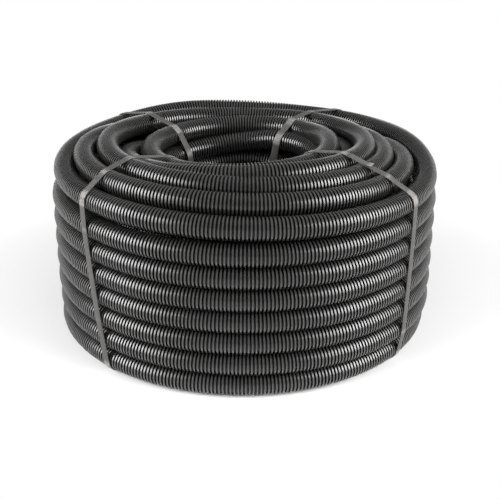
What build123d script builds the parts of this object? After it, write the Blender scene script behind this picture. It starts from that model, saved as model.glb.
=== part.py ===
"""Coil of corrugated conduit, held together by four plastic bands.

The conduit is wound in level layers on a drum and comes off it as a ring that stands
upright on its lower turns. The last turns lie on top as a crown that leans up towards the
front. Each band is a closed loop through the central hole, over the crown, down the outer
wall and back under the coil.

Millimetres, +Z up, origin on the floor at the centre of the hole.
"""
from build123d import *
from math import cos, pi, radians, sin, sqrt
import os

# Conduit
tube_diameter = 25.0
turn_squash = 0.2  # how far two turns that lie on each other press in
turn_sides = 6  # the round section is drawn with few sides, because so many turns repeat it

# Winding
outer_diameter = 447.0  # over the widest turns, half way up
wall_bulge = 3.3  # how much further out the middle turns lie than the end turns
wall_turns = 8  # turns in the outer wall, one above the other
column_count = 5  # turns side by side, from the outer wall to the hole
column_pitch = 25.0
crown_rise = 22.6  # how high the top turns climb over the rim, half way between front and back
crown_peak = 3.4  # where the crown is highest, in columns inwards from the rim
crown_lean = 4.0  # degrees by which the crown is higher at the front
crown_root = 32.0  # how deep the crown reaches into the turns under it

# Bands
band_width = 9.0
band_thickness = 0.6
band_clearance = 0.5  # between the band and the crests that it crosses
band_directions = {
    "band_back_right": 57.0,
    "band_back_left": 137.0,
    "band_front_left": 223.0,
    "band_front_right": 321.0,
}

# Worked out from the sizes above
tube_radius = tube_diameter / 2
section_radius = tube_radius * sqrt(2 * pi / (turn_sides * sin(2 * pi / turn_sides)))  # same area
turn_reach = section_radius * cos(pi / turn_sides)  # from a turn's centre to the side that shows
side_out = -180 / turn_sides  # turns a side of the section outwards
side_down = side_out - 90
turn_pitch = tube_diameter - turn_squash
lowest_turn = band_thickness + band_clearance + turn_reach
rim_turn = lowest_turn + (wall_turns - 1) * turn_pitch
bore_height = rim_turn - lowest_turn
wall_middle = (lowest_turn + rim_turn) / 2
wall_half = (rim_turn - lowest_turn) / 2
wall_radius = outer_diameter / 2 - turn_reach
wall_curve = (wall_half**2 + wall_bulge**2) / (2 * wall_bulge)
rim_radius = wall_radius - wall_bulge
bore_radius = rim_radius - (column_count - 1) * column_pitch


def wall_place(height):
    """Return the centre of the outer wall's turn at this height, as radius and height."""
    sink = wall_curve - sqrt(wall_curve**2 - (height - wall_middle) ** 2)
    return (wall_radius - sink, height)


def crown_place(column):
    """Return the centre of the top turn in this column, counted inwards from the rim."""
    rise = crown_rise * (1 - ((column - crown_peak) / crown_peak) ** 2)
    return (rim_radius - column * column_pitch, rim_turn + rise)


outer_wall = [wall_place(lowest_turn + row * turn_pitch) for row in range(wall_turns)]
crown = [crown_place(column) for column in range(1, column_count)]
crown_pivot = (0, rim_turn + crown_rise)
bore_rim = (bore_radius, rim_turn)
bore_foot = (bore_radius, lowest_turn)
base = [(rim_radius - column * column_pitch, lowest_turn)
        for column in range(column_count - 2, 0, -1)]

# Section through all the turns under the crown, scalloped by those that show on the outer
# wall and underneath. The wall of the hole is drawn plain.
with BuildSketch() as drum_section:
    Polygon(*outer_wall, bore_rim, bore_foot, *base, align=None)
    with Locations(*outer_wall[1:-1]):
        RegularPolygon(section_radius, side_count=turn_sides, rotation=side_out)
    with Locations(outer_wall[-1], bore_foot, *base, outer_wall[0]):
        RegularPolygon(section_radius, side_count=turn_sides, rotation=side_down)
    with Locations(bore_foot):
        Rectangle(turn_reach, bore_height, align=(Align.MAX, Align.MIN))

# Section through the crown before it leans, down into the turns under it.
with BuildSketch() as crown_section:
    Polygon(*crown, (crown[-1][0], rim_turn), (crown[0][0], rim_turn), align=None)
    with Locations(*crown):
        RegularPolygon(section_radius, side_count=turn_sides, rotation=side_down)
    with Locations(crown[0], crown[-1]):
        Rectangle(2 * turn_reach, crown_root, align=(Align.CENTER, Align.MAX))

# Conduit coil: both sections turned about the axis, the crown about its leaning one.
with BuildPart() as conduit_coil:
    with BuildSketch(Plane.XZ):
        add(drum_section.sketch)
    revolve(axis=Axis.Z)
    with BuildPart(mode=Mode.PRIVATE) as level_crown:
        with BuildSketch(Plane.XZ):
            add(crown_section.sketch)
        revolve(axis=Axis.Z)
    lean_axis = Axis((0, 0, crown_pivot[1]), (-1, 0, 0))
    add(level_crown.part.rotate(lean_axis, crown_lean))


def make_band(direction):
    """Make the band that stands in the upright plane at this compass direction."""
    lean = -crown_lean * sin(radians(direction))
    band_plane = Plane(origin=(0, 0, 0), x_dir=Vector(1, 0, 0).rotate(Axis.Z, direction),
                       z_dir=Vector(0, -1, 0).rotate(Axis.Z, direction))
    with BuildSketch() as tight_section:
        leaning_crown = crown_section.sketch.rotate(Axis(crown_pivot, (0, 0, 1)), lean)
        make_hull(drum_section.edges() + leaning_crown.edges())
        outline = offset(amount=band_clearance + band_thickness, kind=Kind.INTERSECTION,
                         mode=Mode.REPLACE)
        offset(outline, amount=-band_thickness, kind=Kind.INTERSECTION, mode=Mode.SUBTRACT)
    with BuildPart() as band:
        with BuildSketch(band_plane):
            add(tight_section.sketch_local)
        extrude(amount=band_width / 2, both=True)
    return band.part


pieces = {"conduit_coil": conduit_coil.part}
for name, direction in band_directions.items():
    pieces[name] = make_band(direction)

os.makedirs("parts", exist_ok=True)
for name, piece in pieces.items():
    piece.label = name
    export_step(piece, f"parts/{name}.step")
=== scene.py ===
"""Visual model of a coil of corrugated conduit, held together by four plastic bands.

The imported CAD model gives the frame. Its plain wound solid is replaced by the real turns of
ribbed conduit, and each plain band by a band that runs over those turns. The object is laid out
in millimetres until a mesh is written, which is in metres. The studio is in metres throughout.
"""

import logging
import math
from bisect import bisect_right
from dataclasses import dataclass, field
from enum import Enum
from typing import Callable, Iterable, Sequence

import bpy
from bpy.types import Material, Node, NodeSocket, NodeTree, Object
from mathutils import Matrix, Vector


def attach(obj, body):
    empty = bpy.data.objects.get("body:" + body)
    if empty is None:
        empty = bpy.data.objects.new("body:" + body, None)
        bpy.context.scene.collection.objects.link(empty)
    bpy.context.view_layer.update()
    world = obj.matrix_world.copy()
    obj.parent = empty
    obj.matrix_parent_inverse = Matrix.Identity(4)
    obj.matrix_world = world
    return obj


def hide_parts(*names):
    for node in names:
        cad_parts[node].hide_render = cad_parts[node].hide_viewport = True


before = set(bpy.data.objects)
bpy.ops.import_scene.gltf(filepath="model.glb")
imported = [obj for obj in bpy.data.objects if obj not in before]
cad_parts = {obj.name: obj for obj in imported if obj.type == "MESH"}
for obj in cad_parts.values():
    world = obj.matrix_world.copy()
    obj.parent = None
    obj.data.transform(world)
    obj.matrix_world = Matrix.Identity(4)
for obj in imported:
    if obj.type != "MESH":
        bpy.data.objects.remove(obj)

LOG = logging.getLogger("conduit_coil")
MM = 0.001
FULL_TURN = 360.0
LINE_STEP = 1.0  # degrees from one point of a turn's line to the next
RING_STEP = 15  # degrees from one station of a ring to the next
SLOPE_STEP = 30  # the same for a sloping turn
CORNER_STEP = 6  # degrees from one point of a band's line to the next, round a turn
SHORT = 1e-6  # a length under this has no direction
COIL_MIDDLE = (0.0, 0.0, 0.1)

Color = tuple[float, float, float, float]
Place = tuple[float, float]  # two lengths, mostly a radius and a height
Range = tuple[float, ...]  # lowest and highest, then what they become if not 0 and 1


def place_object(name: str, data: bpy.types.ID) -> Object:
    """Put an object in the scene, at the origin.

    Args:
        name: its name.
        data: its mesh, curve, light or camera.

    Returns:
        The new object.
    """
    item = bpy.data.objects.new(name, data)
    bpy.context.scene.collection.objects.link(item)
    return item


def polar(radius: float, height: float, azimuth: float) -> Vector:
    """Give the point at a radius, a height and a direction in degrees."""
    angle = math.radians(azimuth)
    return Vector((radius * math.cos(angle), radius * math.sin(angle), height))


class Tree:
    """A node tree with short calls to add and join nodes."""

    def __init__(self, tree: NodeTree) -> None:
        """Wrap the node tree to write in."""
        self.tree = tree

    def add(self, kind: str, **settings: object) -> Node:
        """Add a node.

        Args:
            kind: the node's type.
            **settings: properties of the node.

        Returns:
            The new node.
        """
        node = self.tree.nodes.new(kind)
        for key, value in settings.items():
            setattr(node, key, value)
        return node

    def join(self, source: object, target: NodeSocket) -> None:
        """Link an output to an input, or set a plain value on it.

        Args:
            source: a socket or a value, None to leave the input alone.
            target: the input.
        """
        if isinstance(source, NodeSocket):
            self.tree.links.new(source, target)
        elif source is not None:
            target.default_value = source

    def feed(self, node: Node, **values: object) -> Node:
        """Join or set some of a node's inputs.

        Args:
            node: the node.
            **values: an output or a plain value for each input, with underscores for spaces.

        Returns:
            The node.
        """
        for key, value in values.items():
            self.join(value, node.inputs[key.replace("_", " ")])
        return node

    def place(self, group: NodeTree, **values: object) -> Node:
        """Place a shader group, with its inputs given as for feed."""
        return self.feed(self.add("ShaderNodeGroup", node_tree=group), **values)

    def math(self, operation: str, first: object, second: object = None) -> NodeSocket:
        """Add a math node.

        Args:
            operation: what it works out.
            first: a socket or a number.
            second: a socket or a number, where the operation takes two.

        Returns:
            The node's output.
        """
        node = self.add("ShaderNodeMath", operation=operation)
        for value, socket in zip((first, second), node.inputs):
            self.join(value, socket)
        return node.outputs[0]

    def blend(self, share: object, first: object, second: object) -> NodeSocket:
        """Mix two colours.

        Args:
            share: a socket or a number, 0 for the first colour and 1 for the second.
            first: a socket or a colour.
            second: a socket or a colour.

        Returns:
            The mixed colour's output.
        """
        node = self.add("ShaderNodeMix", data_type="RGBA")
        for value, index in ((share, 0), (first, 6), (second, 7)):
            self.join(value, node.inputs[index])
        return node.outputs[2]

    def spread(self, value: NodeSocket, low: float, high: float,
               to_low: float = 0.0, to_high: float = 1.0) -> NodeSocket:
        """Map the range from low to high to the one from to_low to to_high, clamped."""
        return self.feed(self.add("ShaderNodeMapRange"), Value=value, From_Min=low,
                         From_Max=high, To_Min=to_low, To_Max=to_high).outputs[0]

    def noise(self, scale: object, detail: float) -> NodeSocket:
        """Add a noise that stays with the object, and give its value."""
        place = self.add("ShaderNodeTexCoord").outputs["Object"]
        return self.feed(self.add("ShaderNodeTexNoise", noise_dimensions="3D"), Vector=place,
                         Scale=scale, Detail=detail).outputs[0]

    def relief(self, height: NodeSocket, strength: float, depth: float) -> NodeSocket:
        """Add a bump, its depth in metres, and give the bumped normal."""
        node = self.add("ShaderNodeBump")
        return self.feed(node, Strength=strength, Distance=depth, Height=height).outputs[0]

    def store(self, kind: str, name: str, value: NodeSocket) -> Node:
        """Add a node that keeps a value on every point under a name."""
        node = self.add("GeometryNodeStoreNamedAttribute", data_type=kind, domain="POINT")
        return self.feed(node, Name=name, Value=value)

    def recall(self, kind: str, name: str) -> NodeSocket:
        """Give the value that was kept under a name."""
        node = self.add("GeometryNodeInputNamedAttribute", data_type=kind)
        return self.feed(node, Name=name).outputs["Attribute"]


def open_group(name: str, kind: str, inputs: Iterable[tuple[str, str, object]],
               outputs: Iterable[tuple[str, str]]) -> tuple[Tree, Node, Node]:
    """Start a node group.

    Args:
        name: the group's name.
        kind: the type of its tree.
        inputs: name, type and first value of each input, None where it has no value.
        outputs: name and type of each output.

    Returns:
        The wrapped tree, its input node and its output node.
    """
    group = bpy.data.node_groups.new(name, kind)
    for way, sockets in (("INPUT", inputs), ("OUTPUT", outputs)):
        for label, sort, *value in sockets:
            socket = group.interface.new_socket(
                name=label, in_out=way, socket_type=f"NodeSocket{sort}")
            if value and value[0] is not None:
                socket.default_value = value[0]
    tree = Tree(group)
    return tree, tree.add("NodeGroupInput"), tree.add("NodeGroupOutput")


def start_material(name: str) -> tuple[Material, Tree, Node]:
    """Start a material with one Principled shader.

    Args:
        name: the material's name.

    Returns:
        The material, its wrapped tree and the shader node.
    """
    material = bpy.data.materials.new(name)
    material.use_nodes = True
    tree = Tree(material.node_tree)
    return material, tree, material.node_tree.nodes["Principled BSDF"]


def grey(level: float, warmth: float = 0.0) -> Color:
    """Give a near-grey colour, whose red is over its blue by a share of its linear level."""
    return level * (1 + warmth / 2), level, level * (1 - warmth / 2), 1.0


@dataclass
class SurfaceGroups:
    """Shader groups that the object's materials share, each built once."""

    dust_slope: Range = (0.15, 0.95)  # how far up a face looks, from bare to full of dust
    dust_patches: Range = (0.3, 0.7, 0.35, 1.0)
    dust_detail: float = 5.0
    cloud_scale: float = 22.0
    cloud_range: Range = (0.25, 0.75, -1.0, 1.0)
    mark_detail: float = 4.0
    mark_fineness: float = 8.0  # how much finer the marks are than their scale says
    mark_range: Range = (0.55, 0.75)
    dust: NodeTree = field(init=False)
    wear: NodeTree = field(init=False)

    def __post_init__(self) -> None:
        """Build the groups."""
        self.dust = self._settled_dust()
        self.wear = self._rubbed_plastic()

    def _settled_dust(self) -> NodeTree:
        """Build fine dust that lies on upward faces, thicker in patches.

        Returns:
            The group.
        """
        tree, given, result = open_group(
            "settled_dust", "ShaderNodeTree",
            (("Color", "Color", grey(0.03)), ("Dust Color", "Color", grey(0.3)),
             ("Amount", "Float", 0.2), ("Patch Scale", "Float", 14.0)),
            (("Color", "Color"), ("Mask", "Float")))
        facing = tree.add("ShaderNodeSeparateXYZ")
        tree.join(tree.add("ShaderNodeNewGeometry").outputs["Normal"], facing.inputs[0])
        up = tree.spread(facing.outputs["Z"], *self.dust_slope)
        patches = tree.noise(given.outputs["Patch Scale"], self.dust_detail)
        patchy = tree.spread(patches, *self.dust_patches)
        mask = tree.math("MULTIPLY", tree.math("MULTIPLY", up, patchy), given.outputs["Amount"])
        dusty = tree.blend(mask, given.outputs["Color"], given.outputs["Dust Color"])
        tree.feed(result, Color=dusty, Mask=mask)
        return tree.tree

    def _rubbed_plastic(self) -> NodeTree:
        """Build the uneven sheen and fine marks of handled plastic.

        Returns:
            The group.
        """
        tree, given, result = open_group(
            "rubbed_plastic", "ShaderNodeTree",
            (("Roughness", "Float", 0.4), ("Unevenness", "Float", 0.1),
             ("Mark Scale", "Float", 60.0)),
            (("Roughness", "Float"), ("Height", "Float"), ("Marks", "Float")))
        clouds = tree.noise(self.cloud_scale, self.mark_detail)
        marks = tree.noise(
            tree.math("MULTIPLY", given.outputs["Mark Scale"], self.mark_fineness),
            self.mark_detail)
        uneven = tree.math("MULTIPLY", tree.spread(clouds, *self.cloud_range),
                           given.outputs["Unevenness"])
        tree.feed(result, Roughness=tree.math("ADD", given.outputs["Roughness"], uneven),
                  Height=marks, Marks=tree.spread(marks, *self.mark_range))
        return tree.tree


@dataclass(frozen=True)
class ConduitFinish:
    """Dark semi-matt plastic of the conduit: glossy crests, dull grooves darkened with painted
    shade, and a little dust.
    """

    crest: Color = grey(0.024, 0.06)
    # painted shade: the grooves' colour is darker than the crests, which keep the plastic's own
    # colour
    groove_painted_shade: Color = grey(0.004)
    shade_range: Range = (0.3, 0.95)  # from the groove's colour to the crest's, across a rib
    dust: Color = grey(0.20, 0.10)
    dust_amount: float = 0.035
    dust_dulling: float = 1.2  # how much rougher dust makes the plastic
    roughness: float = 0.42
    unevenness: float = 0.07
    mark_scale: float = 70.0
    mark_strength: float = 0.12
    mark_depth: float = 0.0002
    specular: float = 0.3
    gloss_range: Range = (0.6, 1.0)  # the gloss lies on the crests alone
    gloss_roughness: float = 0.25
    gloss_ior: float = 1.6

    def material(self, groups: SurfaceGroups) -> Material:
        """Build the material.

        Args:
            groups: the shared shader groups.

        Returns:
            The material.
        """
        material, tree, shader = start_material("conduit_plastic")
        rib = tree.add("ShaderNodeAttribute", attribute_name="rib").outputs["Fac"]
        # painted shade in the grooves, blended against the crests' own colour across each rib
        body = tree.blend(tree.spread(rib, *self.shade_range), self.groove_painted_shade, self.crest)
        dust = tree.place(groups.dust, Color=body, Dust_Color=self.dust,
                          Amount=self.dust_amount)
        wear = tree.place(groups.wear, Roughness=self.roughness, Unevenness=self.unevenness,
                          Mark_Scale=self.mark_scale)
        dulled = tree.math("MULTIPLY", dust.outputs["Mask"], self.dust_dulling)
        tree.feed(
            shader, Base_Color=dust.outputs["Color"],
            Roughness=tree.math("ADD", wear.outputs["Roughness"], dulled),
            Normal=tree.relief(wear.outputs["Height"], self.mark_strength, self.mark_depth),
            Specular_IOR_Level=self.specular, Coat_Weight=tree.spread(rib, *self.gloss_range),
            Coat_Roughness=self.gloss_roughness, Coat_IOR=self.gloss_ior)
        return material


@dataclass(frozen=True)
class BandFinish:
    """Embossed strapping plastic, dusty grey, paler where it is bent: stretch whitening, and a
    painted highlight on the bends.
    """

    plain: Color = grey(0.06, 0.08)
    # paler colour on bends: partly stretch whitening, partly a painted highlight
    whitened_and_highlit: Color = grey(0.21, 0.07)
    marks: Color = grey(0.12)
    mark_share: float = 0.25
    dust: Color = grey(0.20, 0.08)
    dust_amount: float = 0.10
    roughness: float = 0.42
    unevenness: float = 0.10
    mark_scale: float = 40.0
    mark_height: float = 0.3  # of the dimples' height
    dimple: float = 1.6  # mm between the embossed dimples
    dimple_strength: float = 0.5
    dimple_depth: float = 0.0003
    specular: float = 0.35

    def material(self, groups: SurfaceGroups) -> Material:
        """Build the material.

        Args:
            groups: the shared shader groups.

        Returns:
            The material.
        """
        material, tree, shader = start_material("band_plastic")
        # paleness on the bends, partly stretch whitening and partly a painted highlight
        whitening_and_highlight = tree.add("ShaderNodeAttribute", attribute_name="whitening_and_highlight").outputs["Fac"]
        wear = tree.place(groups.wear, Roughness=self.roughness, Unevenness=self.unevenness,
                          Mark_Scale=self.mark_scale)
        body = tree.blend(whitening_and_highlight, self.plain, self.whitened_and_highlit)
        marked = tree.blend(tree.math("MULTIPLY", wear.outputs["Marks"], self.mark_share),
                            body, self.marks)
        dust = tree.place(groups.dust, Color=marked, Dust_Color=self.dust,
                          Amount=self.dust_amount)
        flat = tree.add("ShaderNodeSeparateXYZ")
        tree.join(tree.add("ShaderNodeUVMap", uv_map="UVMap").outputs[0], flat.inputs[0])
        waves = []
        for way in ("ADD", "SUBTRACT"):
            slant = tree.math(way, flat.outputs[0], flat.outputs[1])
            waves.append(tree.math("SINE", tree.math("MULTIPLY", slant, math.pi / self.dimple)))
        height = tree.math("ADD", tree.math("MULTIPLY", *waves),
                           tree.math("MULTIPLY", wear.outputs["Height"], self.mark_height))
        tree.feed(shader, Base_Color=dust.outputs["Color"], Roughness=wear.outputs["Roughness"],
                  Normal=tree.relief(height, self.dimple_strength, self.dimple_depth),
                  Specular_IOR_Level=self.specular)
        return material


@dataclass(frozen=True)
class Station:
    """A place that the middle of the conduit passes: degrees round from the right, then mm."""

    azimuth: float
    radius: float
    height: float


@dataclass
class Turn:
    """A stretch of conduit through stations, in order round the coil.

    A closed one is a whole turn that meets itself. The stations of an open one may go round
    more than once.
    """

    stations: Sequence[Station]
    closed: bool = True

    def _knots(self) -> list[Station]:
        """Give the stations with enough beyond each end to make the line smooth there."""
        known = list(self.stations)
        if not self.closed:
            return [known[0], *known, known[-1]]
        before = [Station(s.azimuth - FULL_TURN, s.radius, s.height) for s in known[-2:]]
        after = [Station(s.azimuth + FULL_TURN, s.radius, s.height) for s in known[:3]]
        return [*before, *known, *after]

    def at(self, azimuth: float) -> Place:
        """Give the radius and height where the line passes a direction.

        Args:
            azimuth: the direction in degrees, counted on for each time round.

        Returns:
            The radius and the height in mm.
        """
        knots = self._knots()
        turns = [k.azimuth for k in knots]
        if self.closed:
            first = self.stations[0].azimuth
            azimuth = (azimuth - first) % FULL_TURN + first
        index = min(max(bisect_right(turns, azimuth) - 1, 1), len(knots) - 3)
        near = knots[index - 1:index + 3]
        step = near[2].azimuth - near[1].azimuth
        share = (azimuth - near[1].azimuth) / step

        def through(values: Sequence[float]) -> float:
            """Run a smooth line through four values."""
            def slope(low: int, high: int) -> float:
                """Give the slope between two of the four, over this step."""
                width = near[high].azimuth - near[low].azimuth
                return (values[high] - values[low]) / width * step if width else 0.0
            start, end = slope(0, 2), slope(1, 3)
            square, cube = share ** 2, share ** 3
            return (values[1] * (2 * cube - 3 * square + 1)
                    + start * (cube - 2 * square + share)
                    + values[2] * (3 * square - 2 * cube) + end * (cube - square))

        return through([k.radius for k in near]), through([k.height for k in near])

    def points(self) -> list[Vector]:
        """Give the line as points.

        Returns:
            Points in mm. A closed line doesn't repeat its first point.
        """
        first = self.stations[0].azimuth
        last = first + FULL_TURN if self.closed else self.stations[-1].azimuth
        count = round((last - first) / LINE_STEP)
        line = []
        for index in range(count if self.closed else count + 1):
            azimuth = first + (last - first) * index / count
            line.append(polar(*self.at(azimuth), azimuth))
        return line

    def crossings(self, azimuth: float) -> list[Place]:
        """Give each place where the line passes a direction.

        Args:
            azimuth: the direction in degrees.

        Returns:
            Radius and height of each crossing.
        """
        if self.closed:
            return [self.at(azimuth)]
        first, last = self.stations[0].azimuth, self.stations[-1].azimuth
        places = []
        lap = first + (azimuth - first) % FULL_TURN
        while lap <= last:
            places.append(self.at(lap))
            lap += FULL_TURN
        return places


def turn_through(*places: tuple[float, float, float], closed: bool = True) -> Turn:
    """Give the turn through places, each a direction in degrees, a radius and a height."""
    return Turn([Station(*place) for place in places], closed)


def ring(radius: float, height: float, lean: float, swell: float, phase: float,
         drift: float = 0.0) -> Turn:
    """Give a whole turn of even radius.

    Args:
        radius: the turn's radius.
        height: its mean height.
        lean: how much higher it lies on the left than at its mean height.
        swell: how far it is out of round.
        phase: the direction in degrees in which it is widest.
        drift: how much further out it lies on the left than in the middle.

    Returns:
        The turn.
    """
    stations = []
    for azimuth in range(0, 360, RING_STEP):
        wide = math.cos(math.radians(2 * (azimuth - phase)))
        side = math.cos(math.radians(azimuth))
        stations.append(
            Station(azimuth, radius + swell * wide - drift * side, height - lean * side))
    return Turn(stations)


def sloping(radius: float, front: float, back: float) -> Turn:
    """Give a whole turn that lies at one height in front and another at the back.

    Args:
        radius: the turn's radius.
        front: its height in front.
        back: its height at the back.

    Returns:
        The turn.
    """
    stations = []
    for azimuth in range(0, 360, SLOPE_STEP):
        share = (1 + math.sin(math.radians(azimuth))) / 2
        stations.append(Station(azimuth, radius, front + (back - front) * share))
    return Turn(stations)


class Detail(Enum):
    """How many flat sides the round section of a conduit mesh has."""

    SHOWN = 16
    SHADED = 12


@dataclass
class RibbedConduit:
    """The corrugated tube itself: closed ring ribs at an even pitch along any line."""

    crest_radius: float = 12.4
    root_radius: float = 10.2
    rib_pitch: float = 3.8
    crest_width: float = 1.62
    groove_width: float = 1.23
    rings_per_rib: int = 4
    tree: NodeTree = field(init=False)

    def __post_init__(self) -> None:
        """Build the geometry node tree that turns lines into ribbed tube."""
        tree, given, result = open_group(
            "ribbed_conduit", "GeometryNodeTree",
            (("Geometry", "Geometry", None),
             *((label, "Float", size) for label, size in self._sizes().items()),
             ("Sides", "Int", Detail.SHOWN.value), ("Material", "Material", None)),
            (("Geometry", "Geometry"),))
        size = given.outputs
        length = tree.add("GeometryNodeSplineLength").outputs["Length"]
        ribs = tree.math("ROUND", tree.math("DIVIDE", length, size["Rib Pitch"]))
        resample = tree.feed(tree.add("GeometryNodeResampleCurve", mode="COUNT"),
                             Count=tree.math("MULTIPLY", ribs, self.rings_per_rib))
        index = tree.add("GeometryNodeSplineParameter").outputs["Index"]
        step = tree.math("MODULO", index, self.rings_per_rib)
        crest = tree.math("LESS_THAN", step, self.rings_per_rib / 2 - 0.5)
        rib = tree.store("FLOAT", "rib", crest)
        number = tree.store("INT", "ring", tree.add("GeometryNodeInputIndex").outputs["Index"])
        # Each crest and groove has two rings, which move apart to its width.
        trailing = tree.math("MODULO", step, 2.0)
        way = tree.math("SUBTRACT", tree.math("MULTIPLY", trailing, 2.0), 1.0)
        groove_part = tree.math("MULTIPLY", tree.math("SUBTRACT", 1.0, crest),
                                size["Groove Spread"])
        spread = tree.math("ADD", tree.math("MULTIPLY", crest, size["Crest Spread"]),
                           groove_part)
        along = tree.feed(tree.add("ShaderNodeVectorMath", operation="SCALE"),
                          Scale=tree.math("MULTIPLY", way, spread))
        tree.join(tree.add("GeometryNodeInputTangent").outputs[0], along.inputs[0])
        moved = tree.feed(tree.add("GeometryNodeSetPosition"), Offset=along.outputs["Vector"])
        rise = tree.math("SUBTRACT", size["Crest Radius"], size["Root Radius"])
        radius = tree.math("ADD", size["Root Radius"],
                           tree.math("MULTIPLY", rise, tree.recall("FLOAT", "rib")))
        section = tree.feed(tree.add("GeometryNodeCurvePrimitiveCircle", mode="RADIUS"),
                            Resolution=size["Sides"], Radius=1.0)
        sweep = tree.feed(tree.add("GeometryNodeCurveToMesh"), Scale=radius,
                          Profile_Curve=section.outputs["Curve"], Fill_Caps=True)
        crisp = tree.feed(tree.add("GeometryNodeSetShadeSmooth", domain="EDGE"),
                          Selection=self._round_edges(tree), Shade_Smooth=False)
        paint = tree.feed(tree.add("GeometryNodeSetMaterial"), Material=size["Material"])
        stages = (given, resample, rib, number, moved,
                  tree.add("GeometryNodeSetCurveNormal", mode="Z_UP"), sweep,
                  tree.add("GeometryNodeSetShadeSmooth", domain="FACE"), crisp,
                  tree.add("GeometryNodeRealizeInstances"), paint, result)
        for earlier, later in zip(stages, stages[1:]):
            tree.join(earlier.outputs[0], later.inputs[0])
        self.tree = tree.tree

    def _sizes(self) -> dict[str, float]:
        """Give the node tree's lengths in metres, by the name of their input."""
        even = self.rib_pitch / self.rings_per_rib
        sizes = {"Rib Pitch": self.rib_pitch, "Crest Radius": self.crest_radius,
                 "Root Radius": self.root_radius, "Crest Spread": (self.crest_width - even) / 2,
                 "Groove Spread": (self.groove_width - even) / 2}
        return {label: size * MM for label, size in sizes.items()}

    @staticmethod
    def _round_edges(tree: Tree) -> NodeSocket:
        """Find the edges that run round the tube, which stay crisp.

        Args:
            tree: the geometry node tree.

        Returns:
            True on each edge whose two ends lie on the same ring.
        """
        ring_number = tree.recall("INT", "ring")
        ends = tree.add("GeometryNodeInputMeshEdgeVertices")
        same = tree.add("FunctionNodeCompare", data_type="INT", operation="EQUAL")
        for end, side in (("Vertex Index 1", "A"), ("Vertex Index 2", "B")):
            at_end = tree.add("GeometryNodeFieldAtIndex", data_type="INT", domain="POINT")
            tree.feed(at_end, Index=ends.outputs[end], Value=ring_number)
            tree.join(at_end.outputs["Value"], same.inputs[side])
        return same.outputs["Result"]

    def mesh_piece(self, name: str, turns: Sequence[Turn], material: Material,
                   detail: Detail) -> Object:
        """Make one piece of ribbed tube along some turns.

        Args:
            name: the piece's name.
            turns: the lines that the conduit follows.
            material: its finish.
            detail: how finely its section is drawn.

        Returns:
            A plain mesh object at the origin.
        """
        curve = bpy.data.curves.new(f"{name}_line", "CURVE")
        curve.dimensions = "3D"
        for turn in turns:
            points = turn.points()
            spline = curve.splines.new("POLY")
            spline.points.add(len(points) - 1)
            for point, place in zip(spline.points, points):
                point.co = (*(place * MM), 1.0)
            spline.use_cyclic_u = turn.closed
        carrier = place_object(f"{name}_line", curve)
        modifier = carrier.modifiers.new("ribs", "NODES")
        modifier.node_group = self.tree
        values = {**self._sizes(), "Sides": detail.value, "Material": material}
        for item in self.tree.interface.items_tree:
            if item.item_type == "SOCKET" and item.in_out == "INPUT" and item.name in values:
                modifier[item.identifier] = values[item.name]
        graph = bpy.context.evaluated_depsgraph_get()
        mesh = bpy.data.meshes.new_from_object(carrier.evaluated_get(graph), depsgraph=graph)
        mesh.name = name
        carrier.modifiers.remove(modifier)
        bpy.data.objects.remove(carrier)
        bpy.data.curves.remove(curve)
        return place_object(name, mesh)


@dataclass
class OuterWall:
    """Turns one above the other round the outside, under the rim turn."""

    radii: tuple[float, ...] = (207.6, 209.7, 210.3, 210.4, 210.4, 210.3, 210.2)
    heights: tuple[float, ...] = (13.1, 37.7, 62.6, 87.0, 111.2, 135.7, 160.2)
    leans: tuple[float, ...] = (0.1, 0.8, 0.9, 1.6, 1.1, 1.6, 2.1)
    swells: tuple[float, ...] = (0.2, 0.4, 0.5, 0.5, 0.5, 0.6, 0.7)
    drifts: tuple[float, ...] = (1.8, -0.3, 0.0, 0.0, 0.0, 0.0, 0.0)
    widest: float = 7.0  # direction in which the lowest turn is widest
    twist: float = 2.0  # how far that direction goes back from each turn to the next

    def turns(self) -> list[Turn]:
        """Give the turns, lowest first."""
        rows = zip(self.radii, self.heights, self.leans, self.swells, self.drifts)
        return [ring(radius, height, lean, swell, self.widest - self.twist * row, drift)
                for row, (radius, height, lean, swell, drift) in enumerate(rows)]


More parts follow.
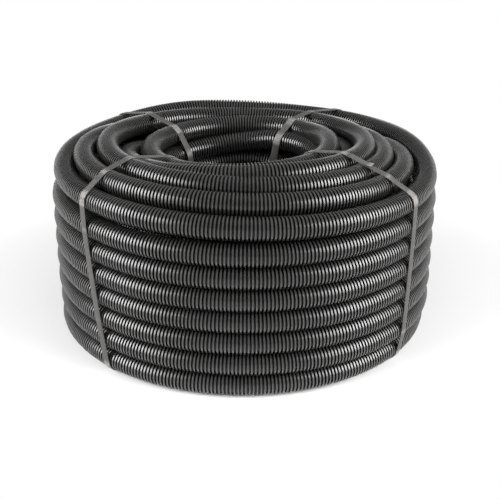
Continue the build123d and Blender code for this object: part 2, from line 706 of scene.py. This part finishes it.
@dataclass
class Crown:
    """The rim turn, the spiral that climbs inwards, the hole's mouth and the turns under them."""

    rim: Turn = field(default_factory=lambda: turn_through(
        (0, 209.4, 187.5), (20, 209.0, 192.0), (45, 208.5, 191.3), (70, 208.5, 190.2),
        (95, 208.5, 193.6), (115, 208.5, 196.0), (145, 207.8, 192.9), (180, 207.0, 192.6),
        (225, 208.0, 191.2), (270, 208.0, 188.0), (315, 209.5, 184.0), (340, 210.2, 183.8)))
    spiral: Turn = field(default_factory=lambda: turn_through(
        (-75, 131.0, 187.0), (-45, 124.5, 191.0), (-15, 119.5, 194.8), (0, 119.0, 195.0),
        (20, 121.0, 191.8), (45, 125.0, 187.0), (90, 130.5, 183.0), (120, 129.5, 182.5),
        (150, 128.0, 184.0), (180, 134.0, 196.0), (225, 138.0, 209.0), (270, 140.0, 217.6),
        (315, 140.0, 215.6), (360, 139.4, 209.7), (405, 144.0, 203.0), (450, 150.0, 198.4),
        (495, 153.0, 204.5), (540, 156.8, 213.5), (585, 160.0, 214.6), (630, 162.0, 213.0),
        (675, 161.5, 207.5), (720, 160.6, 200.9), (765, 168.0, 190.0), (810, 175.0, 180.0),
        (855, 180.0, 191.5), (900, 183.2, 205.4), (945, 187.0, 207.0), (990, 188.0, 205.0),
        (1035, 185.5, 199.0), (1080, 183.0, 192.0), (1110, 185.0, 181.0), (1140, 186.0, 170.0),
        (1155, 186.0, 165.0), closed=False))
    mouth: Turn = field(default_factory=lambda: turn_through(
        (0, 98.0, 209.5), (45, 106.0, 202.0), (90, 111.0, 198.7), (135, 111.5, 198.5),
        (180, 108.2, 202.5), (225, 111.0, 205.0), (270, 114.0, 210.6), (315, 106.0, 210.6)))
    under_rim: Turn = field(default_factory=lambda: turn_through(
        (0, 185.0, 167.5), (45, 185.0, 150.5), (90, 186.0, 156.5), (135, 187.5, 167.5),
        (157, 190.0, 175.0), (180, 187.5, 179.5), (225, 186.5, 180.5), (270, 186.0, 178.5),
        (315, 186.0, 174.0)))

    def turns(self) -> list[Turn]:
        """Give the turns that lie on top, from the rim to the hole."""
        return [self.rim, self.spiral, self.mouth]

    def under_turns(self) -> list[Turn]:
        """Give the turns of the layer below, which show between the top ones."""
        return [self.under_rim, sloping(160.0, 184.0, 153.0), sloping(134.5, 188.0, 160.7)]

    def inner_turns(self) -> list[Turn]:
        """Give the turns of the layer under that, which close the gaps between its turns."""
        return [sloping(172.0, 156.0, 134.0), sloping(147.0, 164.0, 136.0),
                sloping(122.0, 166.0, 138.0)]


@dataclass
class BoreWall:
    """Turns round the hole, one above the other, under the ring at its mouth."""

    heights: tuple[float, ...] = (13.1, 37.0, 60.9, 84.8, 108.7, 132.6)
    radii: tuple[float, ...] = (110.0, 109.0, 108.0, 107.0, 106.0, 104.5)
    lean: float = -0.15  # of the second turn, and as much more for each one above it
    swell: float = 0.6
    widest: float = 30.0  # direction in which the lowest turn is widest
    twist: float = 50.0  # how far that direction goes on from each turn to the next
    loose: tuple[Turn, ...] = (
        turn_through((0, 100.0, 160.0), (60, 97.0, 156.5), (90, 97.0, 157.5),
                     (120, 100.0, 154.0), (180, 106.0, 152.5), (270, 108.0, 156.5)),
        turn_through((0, 99.0, 185.0), (30, 93.0, 188.5), (60, 89.5, 189.5), (90, 93.5, 183.0),
                     (120, 98.0, 177.5), (150, 103.0, 175.5), (180, 107.0, 176.5),
                     (225, 110.0, 179.5), (270, 110.0, 182.0), (315, 104.0, 184.5)))

    def turns(self) -> list[Turn]:
        """Give the turns, lowest first."""
        even = [ring(radius, height, self.lean * row, self.swell, self.widest + self.twist * row)
                for row, (radius, height) in enumerate(zip(self.radii, self.heights))]
        return [*even, *self.loose]


@dataclass
class Base:
    """The turns side by side that the coil stands on, between the outer wall and the hole."""

    radii: tuple[float, ...] = (183.9, 159.3, 134.6)
    height: float = 13.1
    swell: float = 0.2
    twist: float = 25.0  # how far the widest direction goes on from each turn to the next

    def turns(self) -> list[Turn]:
        """Give the turns, from the outside inwards."""
        return [ring(radius, self.height, 0.0, self.swell, self.twist * row)
                for row, radius in enumerate(self.radii)]


@dataclass
class ConduitCoil:
    """The whole coil of one length of conduit."""

    tube: RibbedConduit
    wall: OuterWall = field(default_factory=OuterWall)
    crown: Crown = field(default_factory=Crown)
    bore: BoreWall = field(default_factory=BoreWall)
    base: Base = field(default_factory=Base)
    lower_rows: int = 4  # turns of the outer wall in its lower piece

    def section(self, azimuth: float) -> list[Place]:
        """Give radius and height of every turn that a band may touch, in one direction."""
        parts = (self.wall, self.crown, self.bore, self.base)
        return [place for part in parts for turn in part.turns()
                for place in turn.crossings(azimuth)]

    def build(self, material: Material) -> list[Object]:
        """Make the coil's pieces.

        Args:
            material: the conduit's finish.

        Returns:
            The pieces, each a plain mesh.
        """
        wall = self.wall.turns()
        plans = (("wall_turns_lower", wall[:self.lower_rows], Detail.SHOWN),
                 ("wall_turns_upper", wall[self.lower_rows:], Detail.SHOWN),
                 ("crown_turns", self.crown.turns(), Detail.SHOWN),
                 ("under_crown_turns", self.crown.under_turns(), Detail.SHADED),
                 ("inner_turns", self.crown.inner_turns(), Detail.SHADED),
                 ("bore_turns", self.bore.turns(), Detail.SHADED),
                 ("base_turns", self.base.turns(), Detail.SHADED))
        pieces = []
        for name, turns, detail in plans:
            piece = self.tube.mesh_piece(name, turns, material, detail)
            pieces.append(piece)
            LOG.info("%s: %d turns, %d faces", name, len(turns), len(piece.data.polygons))
        return pieces

    def dress(self, pieces: Sequence[Object]) -> None:
        """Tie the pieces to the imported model.

        Args:
            pieces: the coil's pieces.
        """
        for piece in pieces:
            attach(piece, "root")
            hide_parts("conduit_coil")


def tight_loop(middles: Sequence[Place], reach: float) -> list[Place]:
    """Give the line of a band pulled tight round some round sections.

    Args:
        middles: radius and height of each section's middle.
        reach: the distance from a middle to the band's middle plane.

    Returns:
        The closed line, going outwards over the top and back under, as radius and height.
    """
    places = sorted(set(middles))

    def chain(ordered: Iterable[Place]) -> list[Place]:
        """Give one side of the convex outline."""
        side: list[Place] = []
        for place in ordered:
            while len(side) > 1 and ((side[-1][0] - side[-2][0]) * (place[1] - side[-2][1])
                                     - (side[-1][1] - side[-2][1]) * (place[0] - side[-2][0])) <= 0:
                side.pop()
            side.append(place)
        return side[:-1]

    corners = (chain(places) + chain(reversed(places)))[::-1]
    line = []
    for index, corner in enumerate(corners):
        before, after = corners[index - 1], corners[(index + 1) % len(corners)]
        angles = [math.atan2(end[1] - start[1], end[0] - start[0]) + math.pi / 2
                  for start, end in ((before, corner), (corner, after))]
        bend = (angles[1] - angles[0] + math.pi) % (2 * math.pi) - math.pi
        count = max(1, math.ceil(abs(math.degrees(bend)) / CORNER_STEP))
        for step in range(count + 1):
            angle = angles[0] + bend * step / count
            line.append((corner[0] + reach * math.cos(angle),
                         corner[1] + reach * math.sin(angle)))
    return line


def clamp(value: float) -> float:
    """Keep a share between 0 and 1."""
    return min(max(value, 0.0), 1.0)


class Joint(Enum):
    """What shows where a band's ends are welded."""

    HIDDEN = "hidden"
    LAPPED = "lapped"


@dataclass
class Band:
    """A flat plastic band pulled tight round one side of the coil and welded to itself."""

    node: str
    hole_direction: float
    crown_direction: float
    rim_direction: float
    foot_direction: float
    joint: Joint = Joint.HIDDEN
    width: float = 9.2
    thickness: float = 0.7
    clearance: float = 0.15
    edge: float = 0.4  # how far in the softened edge reaches
    edge_share: float = 0.4  # thickness left at the edge
    middle_share: float = 1.15  # thickness on the outside along the middle
    foot_share: float = 0.75  # least height of the middle line, in thicknesses
    line_step: float = 3.0
    # the bends are painted paler: stretch whitening and a painted highlight
    palest_bend: float = 5.0  # degrees of bend between two points where it is palest
    rim_height: float = 190.0
    slant_radius: float = 100.0  # from here outwards it turns from the crown's direction
    slant_width: float = 115.0  # to the rim's or the foot's, over this
    drop_start: float = 20.0  # from this far over the rim down it turns to the hole's
    drop_length: float = 60.0
    window: float = 6.0  # most degrees between the band and where the turns are sampled
    joint_radius: float = 160.0
    joint_length: float = 30.0
    joint_height: float = 150.0  # the weld lies higher than this
    joint_strain: float = 0.2
    tail_start: float = 0.7  # share of the joint's length where its free end lifts off
    tail_share: float = 0.3
    tail_lift: float = 2.2

    def direction(self, radius: float, height: float) -> float:
        """Give the direction in which the band lies at a place on its line.

        Args:
            radius: the place's radius.
            height: the place's height.

        Returns:
            The direction in degrees.
        """
        outwards = clamp((radius - self.slant_radius) / self.slant_width)
        upwards = clamp(height / self.rim_height)
        deep = clamp((self.rim_height + self.drop_start - height) / self.drop_length)
        outer = self.foot_direction + (self.rim_direction - self.foot_direction) * upwards
        inner = self.crown_direction + (self.hole_direction - self.crown_direction) * deep
        return inner + (outer - inner) * outwards

    def line(self, coil: ConduitCoil) -> list[Vector]:
        """Give the band's middle line round the coil.

        Args:
            coil: the coil that it holds.

        Returns:
            Points in mm at nearly even steps. The line doesn't repeat its first point.
        """
        middles: list[Place] = []
        for azimuth in (self.hole_direction, self.crown_direction, self.rim_direction,
                        self.foot_direction):
            for radius, height in coil.section(azimuth):
                if abs(self.direction(radius, height) - azimuth) <= self.window:
                    middles.append((radius, height))
        loop = tight_loop(middles, coil.tube.crest_radius + self.clearance + self.thickness / 2)
        dense: list[Place] = []
        for start, end in zip(loop, loop[1:] + loop[:1]):
            count = max(1, round(math.dist(start, end) / self.line_step))
            for step in range(count):
                share = step / count
                dense.append((start[0] + (end[0] - start[0]) * share,
                              start[1] + (end[1] - start[1]) * share))
        lowest = self.thickness * self.foot_share
        return [polar(radius, max(height, lowest), self.direction(radius, height))
                for radius, height in dense]

    def section(self) -> list[Place]:
        """Give the band's section, across and out, with softened edges."""
        half, thick = self.width / 2, self.thickness / 2
        rim, blunt = half - self.edge, thick * self.edge_share
        return [(-half, -blunt), (-half, blunt), (-rim, thick),
                (0.0, thick * self.middle_share), (rim, thick), (half, blunt), (half, -blunt),
                (rim, -thick), (0.0, -thick), (-rim, -thick)]

    def sweep(self, line: Sequence[Vector], closed: bool, lift: Callable[[float], float]
              ) -> tuple[list[Vector], list[tuple[int, ...]], list[float], list[Place]]:
        """Run the section along a line.

        Args:
            line: the middle line's points.
            closed: whether the line meets itself.
            lift: how far the band stands off the line, by the share of its length.

        Returns:
            Vertices, faces, each vertex's paleness from its bend (stretch whitening and painted
            highlight), and each vertex's across and along place.
        """
        count = len(line)
        verts: list[Vector] = []
        whitening_and_highlight: list[float] = []
        flat: list[Place] = []
        run = 0.0
        section = self.section()
        for index, place in enumerate(line):
            before = line[index - 1] if closed or index else line[0]
            after = line[(index + 1) % count] if closed or index < count - 1 else line[-1]
            along = (after - before).normalized()
            spoke = Vector((place.x, place.y, 0)).normalized()
            side = Vector((-spoke.y, spoke.x, 0))
            out = along.cross(side).normalized()
            across = along.cross(out).normalized()
            first, second = (place - before), (after - place)
            bend = first.angle(second) if min(first.length, second.length) > SHORT else 0.0
            stand = lift(index / max(count - 1, 1))
            for wide, thick in section:
                verts.append(place + across * wide + out * (thick + stand))
                # paler where the line bends: stretch whitening and a painted highlight
                whitening_and_highlight.append(min(1.0, math.degrees(bend) / self.palest_bend))
                flat.append((wide, run))
            run += second.length
        ring_size = len(section)
        faces: list[tuple[int, ...]] = []
        for index in range(count if closed else count - 1):
            here, there = index * ring_size, (index + 1) % count * ring_size
            for corner in range(ring_size):
                beside = (corner + 1) % ring_size
                faces.append((here + corner, here + beside, there + beside, there + corner))
        if not closed:
            last = (count - 1) * ring_size
            faces.append(tuple(range(ring_size))[::-1])
            faces.append(tuple(last + corner for corner in range(ring_size)))
        return verts, faces, whitening_and_highlight, flat

    def _lap(self, share: float) -> float:
        """Give how far the upper end at the weld stands off the line."""
        return self.thickness + self.tail_lift * max(0.0, share - self.tail_start) / self.tail_share

    def build(self, coil: ConduitCoil, material: Material) -> Object:
        """Make the band.

        Args:
            coil: the coil that it holds.
            material: the band's finish.

        Returns:
            A plain mesh object at the origin.
        """
        line = self.line(coil)
        verts, faces, whitening_and_highlight, flat = self.sweep(line, True, lambda share: 0.0)
        if self.joint is Joint.LAPPED:
            upper = [p for p in line if p.z > self.joint_height
                     and abs(p.xy.length - self.joint_radius) < self.joint_length / 2]
            upper.sort(key=lambda p: p.xy.length)
            lap_verts, lap_faces, _, lap_flat = self.sweep(upper, False, self._lap)
            start = len(verts)
            verts += lap_verts
            faces += [tuple(start + corner for corner in face) for face in lap_faces]
            tail = 2 * len(self.section())
            whitening_and_highlight += [self.joint_strain] * (len(lap_verts) - tail) + [1.0] * tail
            flat += lap_flat
        name = f"{self.node}_strap"
        mesh = bpy.data.meshes.new(name)
        mesh.from_pydata([vert * MM for vert in verts], [], faces)
        layer = mesh.attributes.new("whitening_and_highlight", "FLOAT", "POINT")
        layer.data.foreach_set("value", whitening_and_highlight)
        chart = mesh.uv_layers.new(name="UVMap")
        for loop in mesh.loops:
            chart.data[loop.index].uv = flat[loop.vertex_index]
        mesh.polygons.foreach_set("use_smooth", [True] * len(mesh.polygons))
        mesh.materials.append(material)
        mesh.update()
        mesh.validate()
        return place_object(name, mesh)

    def dress(self, piece: Object) -> None:
        """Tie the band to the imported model.

        Args:
            piece: the band's mesh object.
        """
        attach(piece, "root")
        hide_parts(self.node)


@dataclass
class Lamp:
    """A soft light: direction, height and spread in degrees, power in watts."""

    name: str
    azimuth: float
    elevation: float
    distance: float
    width: float
    length: float
    power: float
    spread: float = 180.0
    aim: tuple[float, float, float] = COIL_MIDDLE

    def build(self) -> None:
        """Hang the light and point it at its place on the coil, its length upright."""
        light = bpy.data.lights.new(self.name, "AREA")
        light.shape = "RECTANGLE"
        light.size, light.size_y = self.width, self.length
        light.energy = self.power
        light.spread = math.radians(self.spread)
        lamp = place_object(self.name, light)
        up = math.radians(self.elevation)
        away = polar(math.cos(up), math.sin(up), self.azimuth)
        lamp.location = away * self.distance + Vector(COIL_MIDDLE)
        aim = Vector(self.aim) - lamp.location
        lamp.rotation_euler = aim.to_track_quat("-Z", "Y").to_euler()


@dataclass
class Studio:
    """Pale floor, white surroundings, soft lights and the camera."""

    view_distance: float = 1.167
    view_elevation: float = 23.79
    target_height: float = 0.0740
    lens: float = 68.85
    shift: float = 0.0114
    fill: float = 0.23
    floor_radius: float = 4.0
    floor_sides: int = 96
    floor_level: float = 0.86
    edge_step: float = 2.5  # degrees from one ring of the upturned edge to the next
    edge_rings: int = 20
    shadow_range: Range = (0.235, 0.42)  # metres from the middle, over which it turns white
    lamps: tuple[Lamp, ...] = (
        Lamp("top_light", 270.0, 80.0, 1.7, 1.0, 1.0, 1.2),
        Lamp("left_light", 205.0, 21.0, 1.5, 1.5, 1.2, 12.5, 80.0, (-0.14, -0.32, 0.05)),
        Lamp("right_light", 335.0, 21.0, 1.5, 1.5, 1.2, 13.5, 80.0, (0.14, -0.32, 0.05)),
        Lamp("back_light", 90.0, 62.0, 1.8, 2.0, 1.2, 1.6))

    def build(self) -> None:
        """Set up everything round the object."""
        self._camera()
        self._world()
        self._floor()
        for lamp in self.lamps:
            lamp.build()
        bpy.context.scene.view_settings.view_transform = "Standard"

    def _camera(self) -> None:
        """Place the camera where the photograph was taken from."""
        camera = bpy.data.cameras.new("camera")
        camera.sensor_width = 36.0
        camera.lens = self.lens
        camera.shift_x = self.shift
        holder = place_object("camera", camera)
        up = math.radians(self.view_elevation)
        target = Vector((0, 0, self.target_height))
        holder.location = target + Vector((0, -math.cos(up), math.sin(up))) * self.view_distance
        holder.rotation_euler = (target - holder.location).to_track_quat("-Z", "Y").to_euler()
        bpy.context.scene.camera = holder

    def _world(self) -> None:
        """Fill in evenly from all round."""
        world = bpy.data.worlds.new("studio")
        bpy.context.scene.world = world
        world.use_nodes = True
        tree = Tree(world.node_tree)
        tree.feed(world.node_tree.nodes["Background"], Color=grey(1.0), Strength=self.fill)

    def _floor(self) -> None:
        """Lay the round floor with its upturned edge."""
        rings = [(self.floor_radius, 0.0)]
        for step in range(1, self.edge_rings + 1):
            angle = math.radians(self.edge_step * step)
            rings.append((self.floor_radius + self.floor_radius * math.sin(angle),
                          self.floor_radius * (1 - math.cos(angle))))
        sides = self.floor_sides
        verts = [(0.0, 0.0, 0.0)]
        for radius, height in rings:
            for side in range(sides):
                angle = 2 * math.pi * side / sides
                verts.append((radius * math.cos(angle), radius * math.sin(angle), height))
        faces: list[tuple[int, ...]] = []
        for side in range(sides):
            beside = (side + 1) % sides
            faces.append((0, 1 + side, 1 + beside))
            for row in range(self.edge_rings):
                low, high = 1 + row * sides, 1 + (row + 1) * sides
                faces.append((low + side, high + side, high + beside, low + beside))
        mesh = bpy.data.meshes.new("floor")
        mesh.from_pydata(verts, [], faces)
        floor = place_object("floor", mesh)
        mesh.materials.append(self._floor_paint())

    def _floor_paint(self) -> Material:
        """Paint the floor so that it takes the object's shadow and looks plain white beyond.

        Returns:
            The material.
        """
        material, tree, shader = start_material("floor_paint")
        tree.feed(shader, Base_Color=grey(self.floor_level), Roughness=0.9,
                  Specular_IOR_Level=0.1)
        white = tree.feed(tree.add("ShaderNodeEmission"), Color=grey(1.0), Strength=1.0)
        reach = tree.add("ShaderNodeVectorMath", operation="LENGTH")
        tree.join(tree.add("ShaderNodeTexCoord").outputs["Object"], reach.inputs[0])
        far = tree.spread(reach.outputs["Value"], *self.shadow_range)
        path = tree.add("ShaderNodeLightPath").outputs
        seen = tree.math("MAXIMUM", path["Is Camera Ray"], tree.math(
            "MAXIMUM", path["Is Glossy Ray"], path["Is Transmission Ray"]))
        mix = tree.add("ShaderNodeMixShader")
        shaders = (tree.math("MULTIPLY", far, seen), shader.outputs[0], white.outputs[0])
        for source, socket in zip(shaders, mix.inputs):
            tree.join(source, socket)
        tree.join(mix.outputs[0], tree.tree.nodes["Material Output"].inputs["Surface"])
        return material


def main() -> None:
    """Build the coil, its bands and the studio."""
    logging.basicConfig(level=logging.INFO, format="%(message)s")
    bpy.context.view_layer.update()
    groups = SurfaceGroups()
    conduit, strapping = ConduitFinish().material(groups), BandFinish().material(groups)
    coil = ConduitCoil(RibbedConduit())
    coil.dress(coil.build(conduit))
    bands = (Band("band_back_right", 65.5, 55.5, 54.0, 56.0),
             Band("band_back_left", 136.5, 143.5, 137.5, 135.0),
             Band("band_front_left", 226.0, 222.0, 220.5, 228.0),
             Band("band_front_right", 313.0, 316.0, 324.0, 321.5, Joint.LAPPED))
    for band in bands:
        piece = band.build(coil, strapping)
        band.dress(piece)
        LOG.info("%s: %d faces", piece.name, len(piece.data.polygons))
    Studio().build()


if __name__ == "__main__":
    main()
